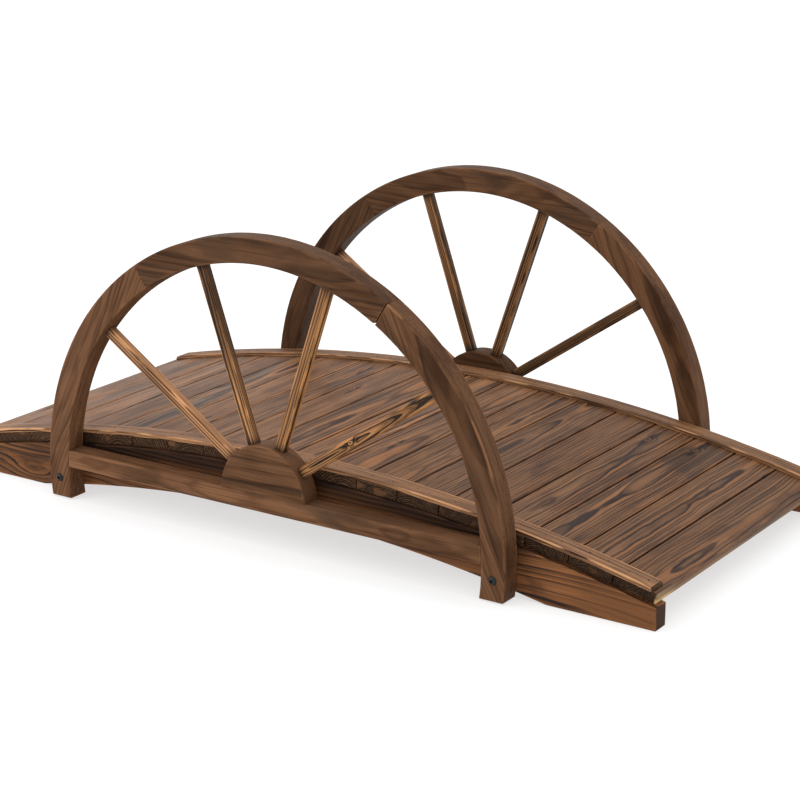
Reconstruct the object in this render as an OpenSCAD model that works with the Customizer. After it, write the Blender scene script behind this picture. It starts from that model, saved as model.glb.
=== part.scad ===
// Arched garden footbridge with two half-wheel railings.
// X runs along the walkway, Y across it, Z up; the ground is Z = 0.

/* [Frame] */
// Length over the stringers
bridge_len = 1330; // [1200:5:1450]
// Width between the outer faces of the two stringers
frame_w = 600; // [520:2:680]
// Thickness of a stringer board
stringer_t = 30; // [26:1:38]
// Height of the stringer's top where the deck ends
end_h = 37; // [30:1:46]
// Height of the stringer's top at mid span
crown_h = 115; // [106:1:126]
// Length of the flat foot at each end of a stringer
pad_len = 179; // [140:1:210]
// Rise of the arched opening under a stringer
arch_rise = 47; // [36:1:54]

/* [Deck] */
// Set-back of the deck's ends from the stringer's ends
deck_inset = 5; // [2:0.5:15]
// Thickness of a deck board
board_t = 14; // [10:0.5:18]
// Open gap between two deck boards
board_gap = 2.4; // [1.6:0.2:5]
// Set-back of the board ends from the stringer's outer face
board_setback = 5; // [1:0.5:8]
// Eased edge along a deck board
board_ease = 1; // [0.4:0.1:2]

/* [Edge strips] */
// Width of an edge strip
strip_w = 30; // [24:1:44]
// Thickness of an edge strip
strip_t = 9; // [8:0.5:14]
// Set-back of a strip from the ends of the boards
strip_setback = 5; // [1:0.5:12]
// Set-back of a strip's ends from the ends of the deck
strip_end_gap = 2; // [1:0.5:10]
// Clearance between a strip and the edges of the boards under it
strip_clear = 0.05; // [0.02:0.01:0.2]
// Eased edge along the top of a strip
strip_ease = 1.5; // [0.5:0.25:3]
// Bevel at the ends of a strip
strip_bevel = 5; // [2:0.5:6]

/* [Wheel rim] */
// Outer radius of the half wheel
rim_r = 438; // [420:1:460]
// Radial width of the rim
rim_w = 41; // [34:1:50]
// Depth of the rim across the walkway
rim_t = 36; // [30:1:44]
// Height of the wheel's centre above the ground
wheel_z = 52; // [44:1:58]
// Height of the feet above the ground
foot_lift = 2; // [0:0.5:8]
// Angle of the left joint of the top felloe above the level
left_joint_angle = 56.5; // [50:0.5:64]
// Angle of the right joint of the top felloe above the level
right_joint_angle = 58; // [50:0.5:64]
// Open gap in a felloe joint
joint_gap = 0.3; // [0.2:0.1:2]
// Eased edge along the rim, the rail and the hub
rim_ease = 1.5; // [0.5:0.25:3]

/* [Rail, hub and spokes] */
// Height of the rail's underside
rail_z = 56; // [50:1:62]
// Height of the rail
rail_h = 28; // [22:1:36]
// Radius of the half hub
hub_r = 80; // [66:1:94]
// Angle of the two outer spokes above the rail
outer_spoke_angle = 34.4; // [30:0.2:40]
// Angle of the two inner spokes above the rail
inner_spoke_angle = 71.2; // [66:0.2:76]
// Width of a spoke in the plane of the wheel
spoke_w = 18; // [14:0.5:24]
// Depth of a spoke across the wheel
spoke_d = 17; // [13:0.5:22]
// Chamfer along the edges of a spoke
spoke_chamfer = 3; // [1:0.25:4]
// Diameter of the round tenons on a spoke
tenon_d = 10; // [7:0.5:12]
// Length of a tenon
tenon_l = 16; // [10:0.5:24]
// Clearance round a tenon
tenon_clear = 0.1; // [0.05:0.05:0.3]

/* [Bolts] */
// Diameter of the bolt through each foot
bolt_d = 8; // [6:0.5:10]
// Diameter of the bolt's button head
bolt_head_d = 14; // [12:0.5:18]
// Height of the bolt's button head
bolt_head_h = 4.4; // [3:0.2:6]
// Width across the flats of the hexagon socket
socket_w = 5; // [4:0.5:6]
// Depth of the hexagon socket
socket_l = 2.6; // [1.5:0.1:3]
// Height of the bolts above the ground
bolt_z = 35; // [32:1:44]
// Clearance round a bolt
bolt_clear = 0.2; // [0.1:0.05:0.5]

/* [Hidden] */
$fn = 240;
board_n = 18;
spoke_angles = [180 - outer_spoke_angle, 180 - inner_spoke_angle, inner_spoke_angle, outer_spoke_angle];
spoke_n = len(spoke_angles);
over = 10;
half_len = bridge_len / 2;
half_deck = half_len - deck_inset;
half_frame = frame_w / 2;

// Arc of the deck's underside: through both deck ends and the crown
deck_rise = crown_h - end_h;
deck_r = (half_deck * half_deck + deck_rise * deck_rise) / (2 * deck_rise);
deck_cz = crown_h - deck_r;
deck_half_angle = asin(half_deck / deck_r);
board_step = 2 * deck_half_angle / board_n;
seat_r = deck_r * cos(board_step / 2);
board_w = 2 * deck_r * sin(board_step / 2) - board_gap;
board_len = frame_w - 2 * board_setback;
deck_top_r = seat_r + board_t;

// Arched opening under the stringers
half_span = half_len - pad_len;
arch_r = (half_span * half_span + arch_rise * arch_rise) / (2 * arch_rise);

// Edge strips, measured from the deck's arc
strip_y = half_frame - board_setback - strip_setback;
strip_seat_r = sqrt(deck_top_r * deck_top_r + board_w * board_w / 4) + strip_clear;
strip_r = strip_seat_r + strip_t;
strip_half_angle = asin((half_deck - strip_end_gap) / strip_r);

// Wheel, measured from its centre
rim_in_r = rim_r - rim_w;
rim_mid_r = rim_r - rim_w / 2;
hub_y = rail_z + rail_h - wheel_z;
joint_half = asin(joint_gap / 2 / rim_r);
foot_sweep = 45;
bolt_y = bolt_z - wheel_z;
bolt_x = sqrt(rim_mid_r * rim_mid_r - bolt_y * bolt_y);
bolt_bite = stringer_t * 0.7;
bolt_dome_r = (bolt_head_d * bolt_head_d / 4 + bolt_head_h * bolt_head_h) / (2 * bolt_head_h);

// Angle of the joint between board i and board i + 1
function step_angle(i) = -deck_half_angle + i * board_step;

// Corner i of the arch of flats that the boards sit on
function arch_pt(i) = [deck_r * sin(step_angle(i)), deck_cz + deck_r * cos(step_angle(i))];

// Height of the last flat of the arch at the stringer's end
function end_flat_z() =
    let (a = arch_pt(board_n - 1), b = arch_pt(board_n))
    b[1] + (half_len - b[0]) * (b[1] - a[1]) / (b[0] - a[0]);

// Direction of spoke i, and how far the rim is from the hub's centre along it
function spoke_angle(i) = spoke_angles[i - 1];
function spoke_reach(i) =
    let (a = spoke_angle(i), c = hub_y * cos(a))
    sqrt(rim_in_r * rim_in_r - c * c) - hub_y * sin(a);

// A rectangle with eased corners, standing on y = 0
module eased_section(w, h, c) {
    a = w / 2;
    polygon([
        [c - a, 0], [a - c, 0], [a, c], [a, h - c],
        [a - c, h], [c - a, h], [-a, h - c], [-a, c]
    ]);
}

// The front half is drawn once; the rear half is its mirror image
module on_side(side) {
    mirror([0, side == "rear" ? 1 : 0, 0])
        children();
}

// The wheel is drawn flat: x along the bridge, y up from its centre, z out from the stringer's outer face
module on_wheel(side) {
    on_side(side)
        translate([0, -half_frame, wheel_z])
            rotate([90, 0, 0])
                children();
}

// Side view of the stringer before its opening is cut: one flat for each board
module stringer_outline() {
    inner = [for (i = [1 : board_n - 1]) arch_pt(i)];
    left = [[-half_len, 0], [-half_len, end_flat_z()]];
    right = [[half_len, end_flat_z()], [half_len, 0]];
    polygon(concat(left, inner, right));
}

module bolt_bores(from_z, to_z) {
    for (s = [-1, 1])
        translate([s * bolt_x, bolt_y, from_z])
            cylinder(d = bolt_d + 2 * bolt_clear, h = to_z - from_z);
}

module stringer(side) {
    on_wheel(side)
        difference() {
            translate([0, -wheel_z, -stringer_t])
                linear_extrude(height = stringer_t)
                    stringer_outline();
            translate([0, arch_rise - arch_r - wheel_z, -stringer_t - over])
                cylinder(r = arch_r, h = stringer_t + 2 * over);
            bolt_bores(-bolt_bite - bolt_clear, over);
        }
}

module board(i) {
    translate([0, 0, deck_cz])
        rotate([0, step_angle(i - 0.5), 0])
            translate([0, board_len / 2, seat_r])
                rotate([90, 0, 0])
                    linear_extrude(height = board_len)
                        eased_section(board_w, board_t, board_ease);
}

module strip_section() {
    c = strip_ease;
    polygon([
        [strip_seat_r, 0], [strip_r - c, 0], [strip_r, c],
        [strip_r, strip_w - c], [strip_r - c, strip_w], [strip_seat_r, strip_w]
    ]);
}

module edge_strip(side) {
    leg = strip_bevel * sqrt(2);
    on_side(side)
        translate([0, -strip_y, deck_cz])
            difference() {
                rotate([-90, 0, 0])
                    rotate([0, 0, -90 - strip_half_angle])
                        rotate_extrude(angle = 2 * strip_half_angle)
                            strip_section();
                for (s = [-1, 1])
                    rotate([0, s * strip_half_angle, 0])
                        translate([0, strip_w / 2, strip_r])
                            rotate([0, 45, 0])
                                cube([leg, strip_w + 2 * over, leg], center = true);
            }
}

module rim_arc(from_a, to_a) {
    c = rim_ease;
    rotate([0, 0, from_a])
        rotate_extrude(angle = to_a - from_a)
            polygon([
                [rim_in_r + c, 0], [rim_r - c, 0], [rim_r, c], [rim_r, rim_t - c],
                [rim_r - c, rim_t], [rim_in_r + c, rim_t], [rim_in_r, rim_t - c], [rim_in_r, c]
            ]);
}

// The line from the hub's centre along spoke i, turned so that z runs out along it
module spoke_axis(i) {
    translate([0, hub_y, rim_t / 2])
        rotate([0, 0, spoke_angle(i)])
            rotate([0, 90, 0])
                children();
}

module tenon_core(i, clear) {
    spoke_axis(i)
        translate([0, 0, hub_r - tenon_l - clear])
            cylinder(d = tenon_d + 2 * clear, h = spoke_reach(i) - hub_r + 2 * (tenon_l + clear));
}

module mortises() {
    for (i = [1 : spoke_n])
        tenon_core(i, tenon_clear);
}

module below_feet() {
    translate([-rim_r - over, foot_lift - wheel_z - rim_r, -over])
        cube([2 * (rim_r + over), rim_r, rim_t + 2 * over]);
}

module side_felloe(side, from_a, to_a) {
    on_wheel(side)
        difference() {
            rim_arc(from_a, to_a);
            below_feet();
            bolt_bores(-over, rim_t + over);
            mortises();
        }
}

module left_felloe(side) {
    side_felloe(side, 180 - left_joint_angle + joint_half, 180 + foot_sweep);
}

module right_felloe(side) {
    side_felloe(side, -foot_sweep, right_joint_angle - joint_half);
}

module top_felloe(side) {
    on_wheel(side)
        difference() {
            rim_arc(right_joint_angle + joint_half, 180 - left_joint_angle - joint_half);
            mortises();
        }
}

module rail(side) {
    on_wheel(side)
        intersection() {
            translate([-rim_r, rail_z + rail_h / 2 - wheel_z, 0])
                rotate([90, 0, 90])
                    linear_extrude(height = 2 * rim_r)
                        eased_section(rail_h, rim_t, rim_ease);
            cylinder(r = rim_in_r, h = rim_t);
        }
}

module hub(side) {
    c = rim_ease;
    on_wheel(side)
        difference() {
            translate([0, hub_y, 0])
                rotate_extrude(angle = 180)
                    polygon([
                        [0, 0], [hub_r - c, 0], [hub_r, c],
                        [hub_r, rim_t - c], [hub_r - c, rim_t], [0, rim_t]
                    ]);
            mortises();
        }
}

module spoke(side, i) {
    on_wheel(side)
        union() {
            difference() {
                intersection() {
                    spoke_axis(i)
                        linear_extrude(height = rim_r)
                            translate([spoke_d / 2, 0])
                                rotate([0, 0, 90])
                                    eased_section(spoke_w, spoke_d, spoke_chamfer);
                    cylinder(r = rim_in_r, h = rim_t);
                }
                translate([0, hub_y, -over])
                    cylinder(r = hub_r, h = rim_t + 2 * over);
            }
            tenon_core(i, 0);
        }
}

module bolt(side, s) {
    on_wheel(side)
        translate([s * bolt_x, bolt_y, 0])
            difference() {
                union() {
                    translate([0, 0, -bolt_bite])
                        cylinder(d = bolt_d, h = bolt_bite + rim_t + bolt_head_h / 2);
                    intersection() {
                        translate([0, 0, rim_t + bolt_head_h - bolt_dome_r])
                            sphere(r = bolt_dome_r);
                        translate([0, 0, rim_t])
                            cylinder(d = bolt_head_d, h = bolt_head_h);
                    }
                }
                translate([0, 0, rim_t + bolt_head_h - socket_l])
                    cylinder(d = socket_w / cos(30), h = socket_l + over, $fn = 6);
            }
}

module front_stringer() { color([0.42, 0.29, 0.20]) stringer("front"); }
module rear_stringer() { color([0.42, 0.29, 0.20]) stringer("rear"); }

module deck_board_01() { color([0.52, 0.40, 0.31]) board(1); }
module deck_board_02() { color([0.52, 0.40, 0.31]) board(2); }
module deck_board_03() { color([0.52, 0.40, 0.31]) board(3); }
module deck_board_04() { color([0.52, 0.40, 0.31]) board(4); }
module deck_board_05() { color([0.52, 0.40, 0.31]) board(5); }
module deck_board_06() { color([0.52, 0.40, 0.31]) board(6); }
module deck_board_07() { color([0.52, 0.40, 0.31]) board(7); }
module deck_board_08() { color([0.52, 0.40, 0.31]) board(8); }
module deck_board_09() { color([0.52, 0.40, 0.31]) board(9); }
module deck_board_10() { color([0.52, 0.40, 0.31]) board(10); }
module deck_board_11() { color([0.52, 0.40, 0.31]) board(11); }
module deck_board_12() { color([0.52, 0.40, 0.31]) board(12); }
module deck_board_13() { color([0.52, 0.40, 0.31]) board(13); }
module deck_board_14() { color([0.52, 0.40, 0.31]) board(14); }
module deck_board_15() { color([0.52, 0.40, 0.31]) board(15); }
module deck_board_16() { color([0.52, 0.40, 0.31]) board(16); }
module deck_board_17() { color([0.52, 0.40, 0.31]) board(17); }
module deck_board_18() { color([0.52, 0.40, 0.31]) board(18); }

module front_edge_strip() { color([0.62, 0.45, 0.32]) edge_strip("front"); }
module rear_edge_strip() { color([0.62, 0.45, 0.32]) edge_strip("rear"); }

module front_left_felloe() { color([0.45, 0.32, 0.22]) left_felloe("front"); }
module front_top_felloe() { color([0.45, 0.32, 0.22]) top_felloe("front"); }
module front_right_felloe() { color([0.45, 0.32, 0.22]) right_felloe("front"); }
module front_rail() { color([0.45, 0.32, 0.22]) rail("front"); }
module front_hub() { color([0.45, 0.32, 0.22]) hub("front"); }
module front_spoke_1() { color([0.58, 0.40, 0.25]) spoke("front", 1); }
module front_spoke_2() { color([0.58, 0.40, 0.25]) spoke("front", 2); }
module front_spoke_3() { color([0.58, 0.40, 0.25]) spoke("front", 3); }
module front_spoke_4() { color([0.58, 0.40, 0.25]) spoke("front", 4); }
module front_left_bolt() { color([0.10, 0.10, 0.11]) bolt("front", -1); }
module front_right_bolt() { color([0.10, 0.10, 0.11]) bolt("front", 1); }

module rear_left_felloe() { color([0.45, 0.32, 0.22]) left_felloe("rear"); }
module rear_top_felloe() { color([0.45, 0.32, 0.22]) top_felloe("rear"); }
module rear_right_felloe() { color([0.45, 0.32, 0.22]) right_felloe("rear"); }
module rear_rail() { color([0.45, 0.32, 0.22]) rail("rear"); }
module rear_hub() { color([0.45, 0.32, 0.22]) hub("rear"); }
module rear_spoke_1() { color([0.58, 0.40, 0.25]) spoke("rear", 1); }
module rear_spoke_2() { color([0.58, 0.40, 0.25]) spoke("rear", 2); }
module rear_spoke_3() { color([0.58, 0.40, 0.25]) spoke("rear", 3); }
module rear_spoke_4() { color([0.58, 0.40, 0.25]) spoke("rear", 4); }
module rear_left_bolt() { color([0.10, 0.10, 0.11]) bolt("rear", -1); }
module rear_right_bolt() { color([0.10, 0.10, 0.11]) bolt("rear", 1); }

front_stringer();
rear_stringer();
deck_board_01();
deck_board_02();
deck_board_03();
deck_board_04();
deck_board_05();
deck_board_06();
deck_board_07();
deck_board_08();
deck_board_09();
deck_board_10();
deck_board_11();
deck_board_12();
deck_board_13();
deck_board_14();
deck_board_15();
deck_board_16();
deck_board_17();
deck_board_18();
front_edge_strip();
rear_edge_strip();
front_left_felloe();
front_top_felloe();
front_right_felloe();
front_rail();
front_hub();
front_spoke_1();
front_spoke_2();
front_spoke_3();
front_spoke_4();
front_left_bolt();
front_right_bolt();
rear_left_felloe();
rear_top_felloe();
rear_right_felloe();
rear_rail();
rear_hub();
rear_spoke_1();
rear_spoke_2();
rear_spoke_3();
rear_spoke_4();
rear_left_bolt();
rear_right_bolt();
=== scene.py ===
import math
import random

import bmesh
import bpy
import numpy as np
from mathutils import Matrix, Vector


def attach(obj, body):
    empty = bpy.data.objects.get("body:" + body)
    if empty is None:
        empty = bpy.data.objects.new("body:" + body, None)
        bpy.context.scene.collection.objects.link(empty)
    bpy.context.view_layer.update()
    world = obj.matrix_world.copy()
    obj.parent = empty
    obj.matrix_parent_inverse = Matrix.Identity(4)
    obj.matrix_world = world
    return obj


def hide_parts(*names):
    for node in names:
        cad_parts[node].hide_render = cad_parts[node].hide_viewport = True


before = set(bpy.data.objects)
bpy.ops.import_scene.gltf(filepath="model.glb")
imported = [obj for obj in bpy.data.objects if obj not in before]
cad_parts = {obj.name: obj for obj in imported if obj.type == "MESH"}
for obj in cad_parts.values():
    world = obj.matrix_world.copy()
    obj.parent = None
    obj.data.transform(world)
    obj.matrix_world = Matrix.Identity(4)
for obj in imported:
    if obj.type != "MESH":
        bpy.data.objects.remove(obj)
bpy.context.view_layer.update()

# Metres in a millimetre; everything is in mm up to the finished meshes
MM = 0.001

# Sizes of the part in mm, as in its source
HALF_LEN = 665.0
HALF_DECK = 660.0
HALF_FRAME = 300.0
STRINGER_T = 30.0
END_H = 37.0
CROWN_H = 115.0
PAD_LEN = 179.0
ARCH_RISE = 47.0
BOARD_N = 18
SOLID_BOARD_T = 14.0
BOARD_GAP = 2.4
BOARD_HALF = 295.0
STRIP_IN = 260.0
SOLID_STRIP_T = 9.0
STRIP_CLEAR = 0.05
RIM_R = 438.0
RIM_IN = 397.0
RIM_T = 36.0
WHEEL_Z = 52.0
FOOT_LIFT = 2.0
LEFT_JOINT = math.radians(56.5)
RIGHT_JOINT = math.radians(58)
JOINT_GAP = 0.3
RAIL_LOW = 4.0
RAIL_TOP = 32.0
HUB_R = 80.0
SPOKE_W = 18.0
SPOKE_D = 17.0
SPOKE_CHAMFER = 3.0
SPOKE_ANGLES = {1: 180 - 34.4, 2: 180 - 71.2, 3: 71.2, 4: 34.4}

# What the photograph shows a little otherwise than the solids: thicker boards under thinner
# strips of the same height together, and strips flush with the board ends
BOARD_T = 16.5
STRIP_W = BOARD_HALF - STRIP_IN
STRIP_END_GAP = 5.0
STRIP_BEVEL = 3.0

# Sizes that follow from those above
RISE = CROWN_H - END_H
DECK_R = (HALF_DECK ** 2 + RISE ** 2) / (2 * RISE)
DECK_CZ = CROWN_H - DECK_R
DECK_A = math.asin(HALF_DECK / DECK_R)
STEP_A = 2 * DECK_A / BOARD_N
SEAT_R = DECK_R * math.cos(STEP_A / 2)
BOARD_W = 2 * DECK_R * math.sin(STEP_A / 2) - BOARD_GAP
STRIP_SEAT = math.hypot(SEAT_R + BOARD_T, BOARD_W / 2) + STRIP_CLEAR
STRIP_R = math.hypot(SEAT_R + SOLID_BOARD_T, BOARD_W / 2) + STRIP_CLEAR + SOLID_STRIP_T
STRIP_T = STRIP_R - STRIP_SEAT
STRIP_A = math.asin((HALF_DECK - STRIP_END_GAP) / STRIP_R)
HALF_SPAN = HALF_LEN - PAD_LEN
ARCH_R = (HALF_SPAN ** 2 + ARCH_RISE ** 2) / (2 * ARCH_RISE)
SIDES = {"front": -1.0, "rear": 1.0}

# Mesh helpers

# Mesh points stand this near an arris on both sides of it, in mm, and nearer on slim pieces
NEAR_ARRIS = 3.0
NEAR_SLIM = 2.0
ARC_STEPS = 3
MERGE = 1e-6
SMOOTH_ANGLE = 40

# A face is end grain when its normal runs along the grain by more than this share
END_FROM = 0.5
END_BLEND = 0.35

# A knot too far away to show
NO_KNOT = (-9.0, 0.0, 0.001)
PLAIN_LOOK = (0.5, 0.5, 150.0)


def unit(x):
    """The value kept between 0 and 1."""
    return min(1.0, max(0.0, x))


def blot(x, y, wide, high):
    """A soft spot: 1 in its middle, fading out over about these two half sizes."""
    return math.exp(-(x / wide) ** 2 - (y / high) ** 2)


def same(*p):
    return p


def clean(*p):
    return 0.0


def wood_look(tone, burnt, ring):
    """How light and how burnt a piece is, and its yearly rings per metre from their width in mm."""
    return (tone, burnt, 1000 / ring)


def ripple(seed, periods):
    """A smooth wandering value of about -1 to 1 along a length in mm."""
    g = random.Random(seed)
    terms = [(2 * math.pi / p, g.uniform(0, 6.28), g.uniform(0.5, 1)) for p in periods]
    return lambda s: sum(a * math.sin(f * s + h) for f, h, a in terms) / len(terms)


def corner_chips(seed, periods):
    """One ripple for each arris of a bar."""
    return [ripple(seed + k, periods) for k in range(4)]


def worn_radii(chips, s, inset, radii, spread, least):
    """Radii of a section's four corners at s, larger where the arris is chipped."""
    return [max(least, r + spread * max(0.0, c(s)) - inset) for r, c in zip(radii, chips)]


def side_steps(length, n, rim=NEAR_ARRIS):
    """Shares of a side's length where its loop has points, the outer ones near the arrises."""
    e = min(rim / length, 0.3)
    return list(np.linspace(e, 1 - e, n))


def eased(a0, a1, b0, b1, radii, ta, tb, arc=ARC_STEPS):
    """Loop of a rectangle with eased corners; returns its points and which lie on an arris."""
    corners = [(a1, b0, -90), (a1, b1, 0), (a0, b1, 90), (a0, b0, 180)]
    centres = []
    for (a, b, start), r in zip(corners, radii):
        centres.append((a - r if a == a1 else a + r, b + r if b == b0 else b - r, r, start))
    pts, arris = [], []
    for k, (a, b, r, start) in enumerate(centres):
        for j in range(arc + 1):
            h = math.radians(start + 90 * j / arc)
            pts.append((a + r * math.cos(h), b + r * math.sin(h)))
            arris.append(1.0)
        next_a, next_b, next_r, next_start = centres[(k + 1) % 4]
        p0 = pts[-1]
        h = math.radians(next_start)
        p1 = (next_a + next_r * math.cos(h), next_b + next_r * math.sin(h))
        for t in (tb if k % 2 == 0 else ta):
            pts.append((p0[0] + (p1[0] - p0[0]) * t, p0[1] + (p1[1] - p0[1]) * t))
            arris.append(0.0)
    return pts, arris


def stations(s0, s1, step, ease, rim=NEAR_ARRIS, also=(), worn=1.0, ease1=None):
    """Places along a length, closer at its ends, with how far the section is eased in there."""
    ease1 = ease if ease1 is None else ease1
    turns = [math.radians(h) for h in (0, 30, 60, 90)]
    first = [(s0 + ease * (1 - math.cos(q)), ease * (1 - math.sin(q)), worn) for q in turns]
    last = [(s1 - ease1 * (1 - math.cos(q)), ease1 * (1 - math.sin(q)), worn) for q in reversed(turns)]
    lo, hi = s0 + ease + rim, s1 - ease1 - rim
    n = max(2, int(round((hi - lo) / step)))
    mid = list(np.linspace(lo, hi, n + 1))
    for x in also:
        mid = [m for m in mid if abs(m - x) > step * 0.3 or m in (lo, hi)] + [x]
    return first + [(m, 0.0, 0.0) for m in sorted(mid)] + last


class Solid:
    """Points, faces and wood data of one piece, gathered in mm."""

    def __init__(self):
        self.xyz, self.uvw, self.edge, self.soot, self.faces = [], [], [], [], []

    def ring(self, points, edges, place=same, grain=same, soot=clean):
        first = len(self.xyz)
        for p, e in zip(points, edges):
            self.xyz.append(place(*p))
            self.uvw.append(grain(*p))
            self.edge.append(e)
            self.soot.append(soot(*p))
        return list(range(first, len(self.xyz)))

    def skin(self, a, b):
        n = len(a)
        for i in range(n):
            j = (i + 1) % n
            self.faces.append((a[i], a[j], b[j], b[i]))

    def join(self, other):
        first = len(self.xyz)
        self.xyz += other.xyz
        self.uvw += other.uvw
        self.edge += other.edge
        self.soot += other.soot
        self.faces += [tuple(k + first for k in f) for f in other.faces]


def sweep(section, stops, place, grain=same, soot=clean, cap_rim=2.5):
    """A bar: section(s, inset) gives a loop of (a, b) and its arris weights at each stop along s."""
    m = Solid()
    rings = []
    for s, inset, worn in stops:
        pts, arris = section(s, inset)
        edges = [max(worn, x) for x in arris]
        rings.append(m.ring([(s, a, b) for a, b in pts], edges, place, grain, soot))
    for r0, r1 in zip(rings, rings[1:]):
        m.skin(r0, r1)
    for outer, (s, inset, _) in ((rings[0], stops[0]), (rings[-1], stops[-1])):
        pts, _ = section(s, inset + cap_rim)
        inner = m.ring([(s, a, b) for a, b in pts], [0.0] * len(pts), place, grain, soot)
        m.skin(outer, inner)
        m.faces.append(tuple(inner))
    return m


def lay(mesh, key, values, domain="POINT"):
    """Writes numbers or vectors on the mesh's points or faces, for the materials to read."""
    values = np.asarray(values, np.float32)
    kind, field = ("FLOAT", "value") if values.ndim == 1 else ("FLOAT_VECTOR", "vector")
    mesh.attributes.new(key, kind, domain).data.foreach_set(field, values.ravel())


def piece(name, solid, node, material, axis, look=PLAIN_LOOK, pith=(0.0, 0.0), knot=None, seed=0,
          smooth=SMOOTH_ANGLE):
    """Makes the object, with its wood data as attributes that the materials read."""
    mesh = bpy.data.meshes.new(name)
    mesh.from_pydata([Vector(p) * MM for p in solid.xyz], [], solid.faces)
    n = len(solid.xyz)
    start = random.Random(seed).uniform(1, 40)
    knot_at = NO_KNOT
    if knot:
        knot_at = (knot[0] * MM + start, (knot[1] - pith[0]) * MM, knot[2] * MM)
    lay(mesh, "grain", np.array(solid.uvw) * MM + np.array([start, -pith[0] * MM, -pith[1] * MM]))
    lay(mesh, "look", np.broadcast_to(look, (n, 3)))
    lay(mesh, "knot", np.tile(knot_at, (n, 1)))
    lay(mesh, "arris", solid.edge)
    lay(mesh, "soot", solid.soot)
    bm = bmesh.new()
    bm.from_mesh(mesh)
    bmesh.ops.remove_doubles(bm, verts=bm.verts, dist=MERGE)
    bmesh.ops.recalc_face_normals(bm, faces=bm.faces)
    bm.to_mesh(mesh)
    bm.free()
    normals = np.array([f.normal for f in mesh.polygons])
    along = np.abs(normals @ np.array(axis, float))
    lay(mesh, "ends", np.clip((along - END_FROM) / END_BLEND, 0, 1), "FACE")
    mesh.shade_smooth()
    mesh.set_sharp_from_angle(angle=math.radians(smooth))
    mesh.materials.append(material)
    o = bpy.data.objects.new(name, mesh)
    bpy.context.scene.collection.objects.link(o)
    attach(o, "root")
    if node:
        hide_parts(node)


# Materials

# Sockets of the Mix node that hold colours
MIX_A = 6
MIX_B = 7
MIX_OUT = 2

# Noise scales per metre, along the grain and across it
SLOW = (4.2, 5.0)
WAVE = (16.0, 45.0)
RAGGED = (90.0, 160.0)
STREAK = (3.6, 150.0)
CLOUD = (5.0, 18.0)
WIDE = (2.6, 60.0)
SHEEN_PATCH_SCALE = (8.0, 34.0)
RUB = (16.0, 60.0)
FIBRE_ALONG = 7.0
GRIME_SCALE = 900.0

# How deep the waves in the rings are, in metres, and how rough the surface is
WAVE_DEPTH = 0.0016
BUMP_STRENGTH = 0.7
BUMP_DEPTH = 0.0008

# What the studio light makes of a colour: a little gloss is added and the rest gains
GLOSS = 0.012
GAIN = 1.2
LEAST_COLOUR = 0.003


class Tree:
    """A material's nodes, written as sums."""

    def __init__(self, name):
        self.mat = bpy.data.materials.new(name)
        self.mat.use_nodes = True
        self.nt = self.mat.node_tree
        self.bsdf = self.nt.nodes["Principled BSDF"]

    def put(self, socket, value):
        if isinstance(value, bpy.types.NodeSocket):
            self.nt.links.new(value, socket)
        elif isinstance(value, tuple) and len(value) == 3 and socket.type == "RGBA":
            socket.default_value = (*value, 1.0)
        else:
            socket.default_value = value

    def math(self, op, a, b=0.0, clamp=False):
        n = self.nt.nodes.new("ShaderNodeMath")
        n.operation, n.use_clamp = op, clamp
        self.put(n.inputs[0], a)
        self.put(n.inputs[1], b)
        return n.outputs[0]

    def add(self, a, b):
        return self.math("ADD", a, b)

    def sub(self, a, b):
        return self.math("SUBTRACT", a, b)

    def mul(self, a, b, clamp=False):
        return self.math("MULTIPLY", a, b, clamp)

    def vec(self, x, y, z):
        n = self.nt.nodes.new("ShaderNodeCombineXYZ")
        for s, v in zip(n.inputs, (x, y, z)):
            self.put(s, v)
        return n.outputs[0]

    def split(self, v):
        n = self.nt.nodes.new("ShaderNodeSeparateXYZ")
        self.put(n.inputs[0], v)
        return n.outputs[:3]

    def attribute(self, name, kind="Vector"):
        n = self.nt.nodes.new("ShaderNodeAttribute")
        n.attribute_name = name
        return n.outputs[kind]

    def noise(self, vector, detail=2.0, rough=0.5, bend=0.0):
        n = self.nt.nodes.new("ShaderNodeTexNoise")
        self.put(n.inputs["Vector"], vector)
        n.inputs["Scale"].default_value = 1.0
        n.inputs["Detail"].default_value = detail
        n.inputs["Roughness"].default_value = rough
        n.inputs["Distortion"].default_value = bend
        return n.outputs[0]

    def streaks(self, uvw, scale, **more):
        """Noise with its own scales along the grain and across it."""
        along, across = scale
        u, v, w = uvw
        return self.noise(self.vec(self.mul(u, along), self.mul(v, across), self.mul(w, across)), **more)

    def step(self, x, lo, hi, to0=0.0, to1=1.0):
        """A smooth step from one value to another."""
        n = self.nt.nodes.new("ShaderNodeMapRange")
        n.interpolation_type = "SMOOTHSTEP"
        for s, v in zip(n.inputs, (x, lo, hi, to0, to1)):
            self.put(s, v)
        return n.outputs[0]

    def fall(self, x, lo, hi):
        return self.step(x, lo, hi, 1.0, 0.0)

    def mix(self, fac, a, b, mode="MIX"):
        n = self.nt.nodes.new("ShaderNodeMix")
        n.data_type, n.blend_type = "RGBA", mode
        self.put(n.inputs[0], fac)
        self.put(n.inputs[MIX_A], a)
        self.put(n.inputs[MIX_B], b)
        return n.outputs[MIX_OUT]


def srgb(r, g, b):
    """Linear colour of an sRGB one of 0 to 255."""
    return tuple(((c / 255 + 0.055) / 1.055) ** 2.4 if c > 10 else c / 255 / 12.92 for c in (r, g, b))


def tint(r, g, b):
    """Surface colour that comes out about as this sRGB colour under the studio light."""
    return tuple(max(LEAST_COLOUR, (c - GLOSS) / GAIN) for c in srgb(r, g, b))


def scaled(colour, k):
    return tuple(min(1.0, k * c) for c in colour)


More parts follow.
